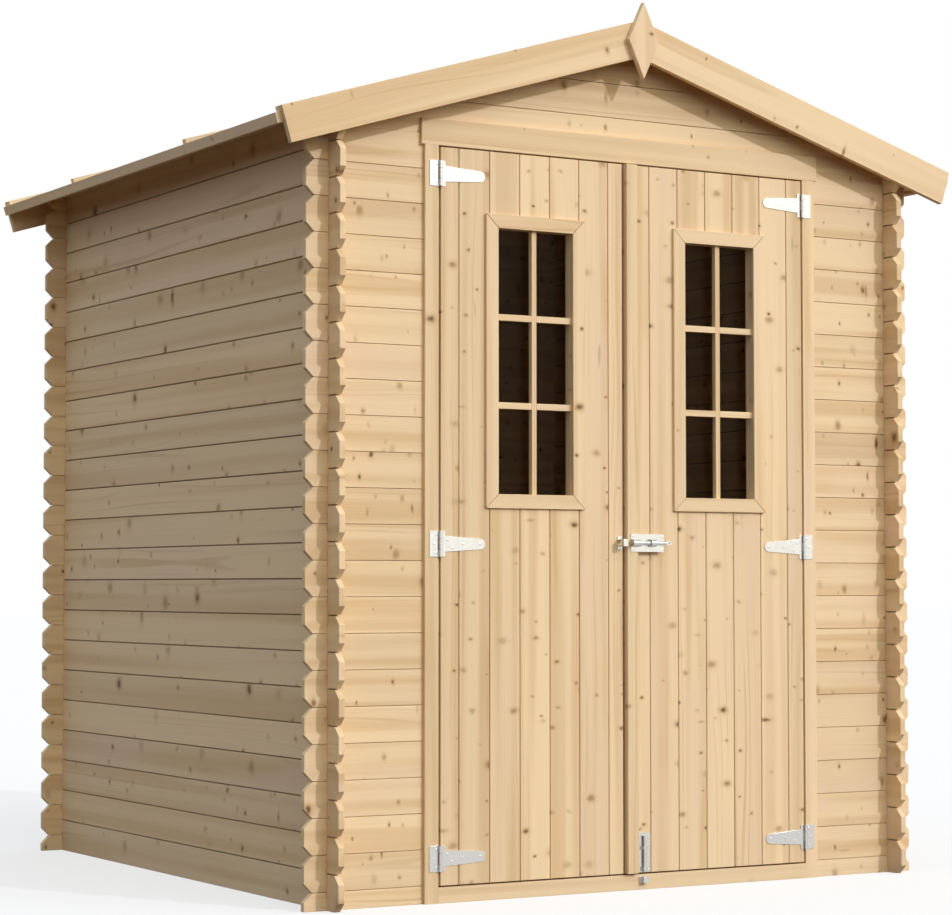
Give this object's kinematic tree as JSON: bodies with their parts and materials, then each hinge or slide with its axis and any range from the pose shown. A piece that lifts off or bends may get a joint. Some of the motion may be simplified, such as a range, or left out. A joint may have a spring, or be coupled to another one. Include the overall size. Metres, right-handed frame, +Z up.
{
  "type": "wooden garden shed",
  "caption": "Small gabled garden shed of flat interlocking boards with crossed corner ends, a boarded pitched roof and a pair of outward-opening glazed doors.",
  "frame": {"origin": "middle of the footprint at ground level", "axes": "+Z up, the doors face -Y, +X to the right seen from the front"},
  "size_m": [2.0422, 1.87, 2.2429],
  "materials": {
    "spruce": "planed, bare",
    "zinc": "zinc plated",
    "glass": "clear",
    "felt": "mineral felt"
  },
  "bodies": {
    "shed": {"left_wall": "spruce", "right_wall": "spruce", "front_wall_left": "spruce", "front_wall_right": "spruce", "back_wall": "spruce", "front_gable": "spruce", "back_gable": "spruce", "ridge_purlin": "spruce", "side_purlins": "spruce", "roof_left": "spruce", "roof_right": "spruce", "roof_felt": "felt", "roof_battens": "spruce", "eave_strips": "spruce", "front_barge_left": "spruce", "front_barge_right": "spruce", "back_barge_left": "spruce", "back_barge_right": "spruce", "front_finial": "spruce", "back_finial": "spruce", "door_post_left": "spruce", "door_post_right": "spruce", "door_head": "spruce", "door_sill": "spruce", "header_board": "spruce", "floor": "spruce", "floor_bearers": "spruce", "left_hinge_plates": "zinc", "right_hinge_plates": "zinc", "foot_bolt_keeper": "zinc"},
    "left_door": {"left_leaf": "spruce", "left_window_trim": "spruce", "left_window_glass": "glass", "left_ledges": "spruce", "left_hinge_straps": "zinc", "latch_keeper": "zinc"},
    "right_door": {"right_leaf": "spruce", "right_window_trim": "spruce", "right_window_glass": "glass", "right_ledges": "spruce", "right_hinge_straps": "zinc", "cover_strip": "spruce", "latch_plate": "zinc", "latch_packer": "spruce", "foot_bolt_plate": "zinc"},
    "latch_bolt": {"latch_bolt": "zinc"},
    "foot_bolt": {"foot_bolt": "zinc"}
  },
  "joints": [
    {"name": "left_door_hinge", "type": "hinge", "parent": "shed", "child": "left_door", "pos_m": [-0.551, -0.863, 0.9], "axis": [0, 0, -1], "range_deg": [0, 160]},
    {"name": "right_door_hinge", "type": "hinge", "parent": "shed", "child": "right_door", "pos_m": [0.553, -0.863, 0.9], "axis": [0, 0, 1], "range_deg": [0, 160]},
    {"name": "latch_slide", "type": "slide", "parent": "right_door", "child": "latch_bolt", "axis": [-1, 0, 0], "range_m": [0, 0.03]},
    {"name": "foot_bolt_slide", "type": "slide", "parent": "right_door", "child": "foot_bolt", "axis": [0, 0, -1], "range_m": [0, 0.028]}
  ]
}
